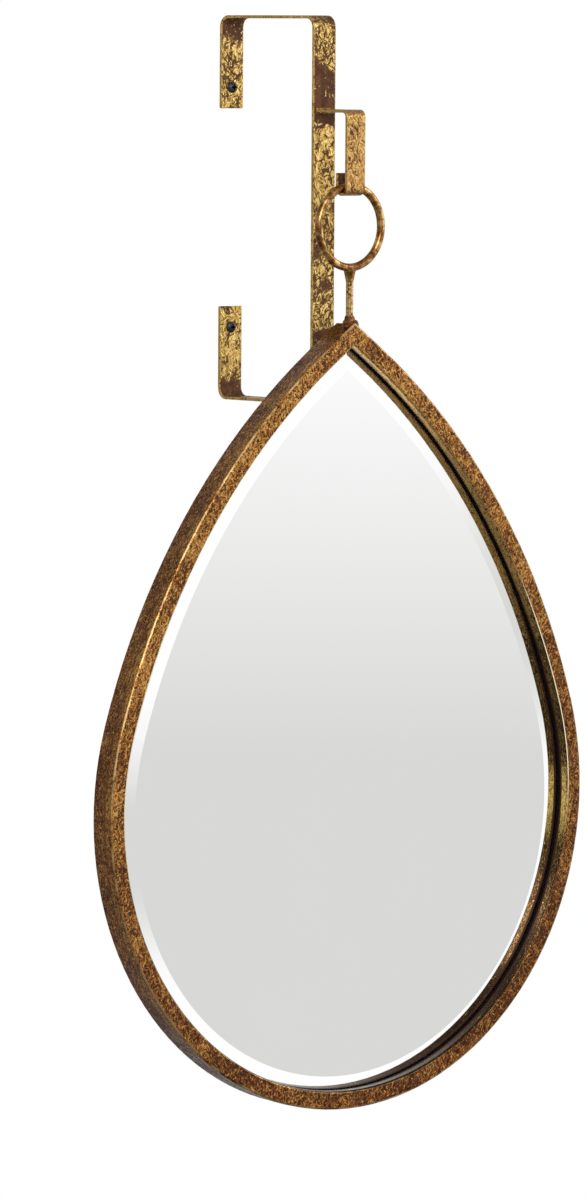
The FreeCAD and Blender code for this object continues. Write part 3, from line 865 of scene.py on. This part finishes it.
# Backing board: hardboard cut to the teardrop and painted matt black, pressed on the glass by the tabs.
# Its smooth side shows a fine fibre and a few pale scuffs.
BOARD_BLACK = (0.022, 0.02, 0.019, 1)
BOARD_SCUFF = (0.075, 0.066, 0.056, 1)
BOARD_FIBRES = (1400.0, 6.0, 0.8)
FIBRE_EDGE = (0.4, 0.7)
SCUFF_PATCHES = (22.0, 8.0, 0.75)
SCUFF_EDGE = (0.56, 0.72)
BOARD_ROUGHNESS = 0.6
BOARD_FIBRE_ROUGHNESS = 0.25
BOARD_RELIEF = 0.00008
board_paint, tree, shader, place = start_material("painted_hardboard")
fibre = noise(tree, place, *BOARD_FIBRES)
scuff = soft_step(tree, noise(tree, place, *SCUFF_PATCHES), *SCUFF_EDGE)
scuff = times(tree, scuff, soft_step(tree, fibre, *FIBRE_EDGE))
colour(tree, shader, scuff, BOARD_BLACK, BOARD_SCUFF)
roughen(tree, shader, BOARD_ROUGHNESS, fibre, BOARD_FIBRE_ROUGHNESS)
press_in(tree, shader, fibre, BOARD_RELIEF)
dress(board_paint, "backing_board")


# Retaining tabs: bits of steel strip bent to an angle, welded inside the rim and folded over the board.
# They are bare, with a fine grain and a little grey oxide.
TAB_GREY = (0.34, 0.33, 0.32, 1)
TAB_OXIDE = (0.13, 0.12, 0.115, 1)
OXIDE_PATCHES = (180.0, 7.0, 0.7)
OXIDE_EDGE = (0.46, 0.66)
TAB_METALLIC = 0.9
TAB_ROUGHNESS = 0.33
OXIDE_ROUGHNESS = 0.25
TAB_GRAIN = (2600.0, 3.0)
TAB_RELIEF = 0.00003
tab_steel, tree, shader, place = start_material("bare_tab_steel")
oxide = soft_step(tree, noise(tree, place, *OXIDE_PATCHES), *OXIDE_EDGE)
colour(tree, shader, oxide, TAB_GREY, TAB_OXIDE)
shader["Metallic"].default_value = TAB_METALLIC
roughen(tree, shader, TAB_ROUGHNESS, oxide, OXIDE_ROUGHNESS)
press_in(tree, shader, noise(tree, place, *TAB_GRAIN), TAB_RELIEF)
dress(tab_steel, *[name for name in nodes if name.startswith("retaining_tab")])


# Wall and floor of the studio. The wall is plain white, and only the front of it is seen:
# from behind it is open, so that the back of the mirror and the screws show.
# The floor is pale, runs on behind the wall, and isn't seen in metal or glass.
WHITE = (1, 1, 1, 1)
BLACK = (0, 0, 0, 1)
ROOM_REACH = 30.0
FLOOR_PALE = (0.8, 0.8, 0.8, 1)
FLOOR_ROUGHNESS = 0.7
FLOOR_DROP = 0.9
FLOOR_LIFT = 0.42


def either_shader(tree, mask, first, second):
    """The second shader where the mask is one, and otherwise the first."""
    mix = add_node(tree, "MixShader", Fac=mask)
    for index, shader in enumerate((first, second), start=1):
        tree.links.new(shader, mix.inputs[index])
    return mix.outputs["Shader"]


bpy.ops.mesh.primitive_plane_add(size=ROOM_REACH, location=(0, 0, 0), rotation=(math.pi / 2, 0, 0))
wall = bpy.context.object
wall.name = "studio_wall"
wall_white = bpy.data.materials.new("wall_white")
wall_white.use_nodes = True
tree = wall_white.node_tree
tree.nodes.clear()
white = add_node(tree, "Emission", Color=WHITE, Strength=1.0).outputs["Emission"]
opening = add_node(tree, "BsdfTransparent").outputs["BSDF"]
seen = tree.nodes.new("ShaderNodeLightPath").outputs["Is Camera Ray"]
behind = tree.nodes.new("ShaderNodeNewGeometry").outputs["Backfacing"]
front_only = times(tree, seen, flip(tree, behind))
surface = tree.nodes.new("ShaderNodeOutputMaterial").inputs["Surface"]
tree.links.new(either_shader(tree, front_only, opening, white), surface)
wall.data.materials.append(wall_white)

floor_level = cad_box[0].z - FLOOR_DROP
bpy.ops.mesh.primitive_plane_add(size=2 * ROOM_REACH, location=(0, 0, floor_level))
floor = bpy.context.object
floor.name = "studio_floor"
floor_pale, tree, shader, place = start_material("floor_pale")
shader["Base Color"].default_value = FLOOR_PALE
shader["Roughness"].default_value = FLOOR_ROUGHNESS
ray = tree.nodes.new("ShaderNodeLightPath").outputs
tree.links.new(paint_over(tree, ray["Is Camera Ray"], BLACK, WHITE), shader["Emission Color"])
shader["Emission Strength"].default_value = FLOOR_LIFT
pale = tree.nodes["Principled BSDF"].outputs["BSDF"]
opening = add_node(tree, "BsdfTransparent").outputs["BSDF"]
surface = tree.nodes["Material Output"].inputs["Surface"]
tree.links.new(either_shader(tree, ray["Is Glossy Ray"], pale, opening), surface)
floor.data.materials.append(floor_pale)


# Studio light: a large soft lamp at the upper left, a weaker one at the right, and an even pale room.
# Metal and glass show the room grey, with a white screen and a grey card on it at the right,
# and a pale panel at the left.
KEY_PLACE = (-1.7, -2.7, 1.5)
KEY_SIZE = 1.6
KEY_POWER = 55.0
FILL_PLACE = (2.4, -1.4, 0.6)
FILL_SIZE = 1.2
FILL_POWER = 12.0
ROOM_LEVEL = (0.6, 0.6, 0.6, 1)
ROOM_LOW = (0.24, 0.24, 0.24, 1)
ROOM_HIGH = (0.46, 0.46, 0.46, 1)
ROOM_BEHIND = (0.5, 0.5, 0.5, 1)
SCREEN_WHITE = (1.06, 1.06, 1.06, 1)
CARD_GREY = (0.737, 0.737, 0.722, 1)
PANEL_WHITE = (0.88, 0.88, 0.86, 1)
BEHIND_EDGE = (0.0, 0.5)

# Places in the room are in degrees to the right of the front and above it.
# A patch is given as its left and right, its low and high, and half the width of its soft edge.
SCREEN_PATCH = (12.0, 88.0, -38.0, 38.0, 9.0)
PANEL_PATCH = (-60.0, -22.0, -8.0, 2.0, 3.0)
CARD_CORNER = (48.5, 55.0, -3.4, 0.8, 2.0)
CARD_RIGHT = (49.6, 46.6)
CARD_FOOT = (-13.6, -8.0)
CARD_FADE_START = -5.5
CARD_FADE_HEIGHT = 3.4
ROOM_RISE = (-40.0, 40.0)
centre = (cad_box[0] + cad_box[1]) / 2


def soft_lamp(name, place, size, power):
    """A square lamp that faces the mirror."""
    light = bpy.data.lights.new(name, "AREA")
    light.size = size
    light.energy = power
    lamp = bpy.data.objects.new(name, light)
    lamp.location = place
    lamp.rotation_euler = (centre - Vector(place)).to_track_quat("-Z", "Y").to_euler()
    bpy.context.scene.collection.objects.link(lamp)


soft_lamp("key_lamp", KEY_PLACE, KEY_SIZE, KEY_POWER)
soft_lamp("fill_lamp", FILL_PLACE, FILL_SIZE, FILL_POWER)

world = bpy.data.worlds.new("studio_room")
bpy.context.scene.world = world
world.use_nodes = True
tree = world.node_tree
towards = tree.nodes.new("ShaderNodeTexCoord").outputs["Generated"]
heading = add_node(tree, "SeparateXYZ", Vector=towards).outputs
ray = tree.nodes.new("ShaderNodeLightPath").outputs
rise = calc(tree, "ARCSINE", heading["Z"])
turn = calc(tree, "ARCTAN2", heading["X"], times(tree, heading["Y"], -1.0))


def span(value, start, end):
    """Soft edge between two angles in degrees."""
    return soft_step(tree, value, math.radians(start), math.radians(end))


def patch(left, right, low, high, soft):
    """Mask of a soft-edged rectangle of the room."""
    across = times(tree, span(turn, left - soft, left + soft), span(turn, right + soft, right - soft))
    upward = times(tree, span(rise, low - soft, low + soft), span(rise, high + soft, high - soft))
    return times(tree, across, upward)


fade = less(tree, rise, math.radians(CARD_FADE_START))
fade = calc(tree, "DIVIDE", fade, math.radians(CARD_FADE_HEIGHT))
fade = calc(tree, "MINIMUM", most(tree, fade, 0.0), 1.0)
card = paint_over(tree, fade, CARD_GREY, SCREEN_WHITE)
on_card = times(tree, span(turn, *CARD_RIGHT), span(rise, *CARD_FOOT))
screen = paint_over(tree, on_card, SCREEN_WHITE, card)
screen = paint_over(tree, patch(*CARD_CORNER), screen, CARD_GREY)
room_ahead = paint_over(tree, span(rise, *ROOM_RISE), ROOM_LOW, ROOM_HIGH)
in_metal = paint_over(tree, soft_step(tree, heading["Y"], *BEHIND_EDGE), room_ahead, ROOM_BEHIND)
in_metal = paint_over(tree, patch(*SCREEN_PATCH), in_metal, screen)
in_metal = paint_over(tree, patch(*PANEL_PATCH), in_metal, PANEL_WHITE)
room = paint_over(tree, ray["Is Glossy Ray"], ROOM_LEVEL, in_metal)
looked_at = most(tree, ray["Is Camera Ray"], ray["Is Transmission Ray"])
background = tree.nodes["Background"].inputs
tree.links.new(paint_over(tree, looked_at, room, WHITE), background["Color"])
background["Strength"].default_value = 1.0


# Camera: from 40 degrees to the left and 4 degrees above, almost 5 metres off.
# The aim is the middle of the frame's round bottom, on its front face.
VIEW_TURN = math.radians(40.0)
VIEW_DROP = math.radians(4.3)
VIEW_ROLL = math.radians(0.38)
VIEW_DISTANCE = 4.884
VIEW_REACH = 50.0
AIM_RIGHT_OF_MIDDLE = 0.03863
AIM_ABOVE_MIDDLE = -0.13382
PICTURE_PIXELS = 1200.0
FOCAL_PIXELS = 7409.0
SENSOR = 36.0
aim = Vector((0, bar_low.y, frame_middle.z))
level_ahead = Vector((math.sin(VIEW_TURN), math.cos(VIEW_TURN), 0))
ahead = level_ahead * math.cos(VIEW_DROP) - Vector((0, 0, math.sin(VIEW_DROP)))
level = Vector((math.cos(VIEW_TURN), -math.sin(VIEW_TURN), 0))
right = level * math.cos(VIEW_ROLL) + level.cross(ahead) * math.sin(VIEW_ROLL)
up = right.cross(ahead)
lens = bpy.data.cameras.new("photo_camera")
lens.sensor_fit = "VERTICAL"
lens.sensor_height = SENSOR
lens.lens = SENSOR * FOCAL_PIXELS / PICTURE_PIXELS
lens.clip_end = VIEW_REACH
camera = bpy.data.objects.new("photo_camera", lens)
camera.rotation_euler = Matrix((right, up, -ahead)).transposed().to_euler()
camera.location = aim - ahead * VIEW_DISTANCE - right * AIM_RIGHT_OF_MIDDLE - up * AIM_ABOVE_MIDDLE
bpy.context.scene.collection.objects.link(camera)
bpy.context.scene.camera = camera
bpy.context.scene.view_settings.view_transform = "Standard"
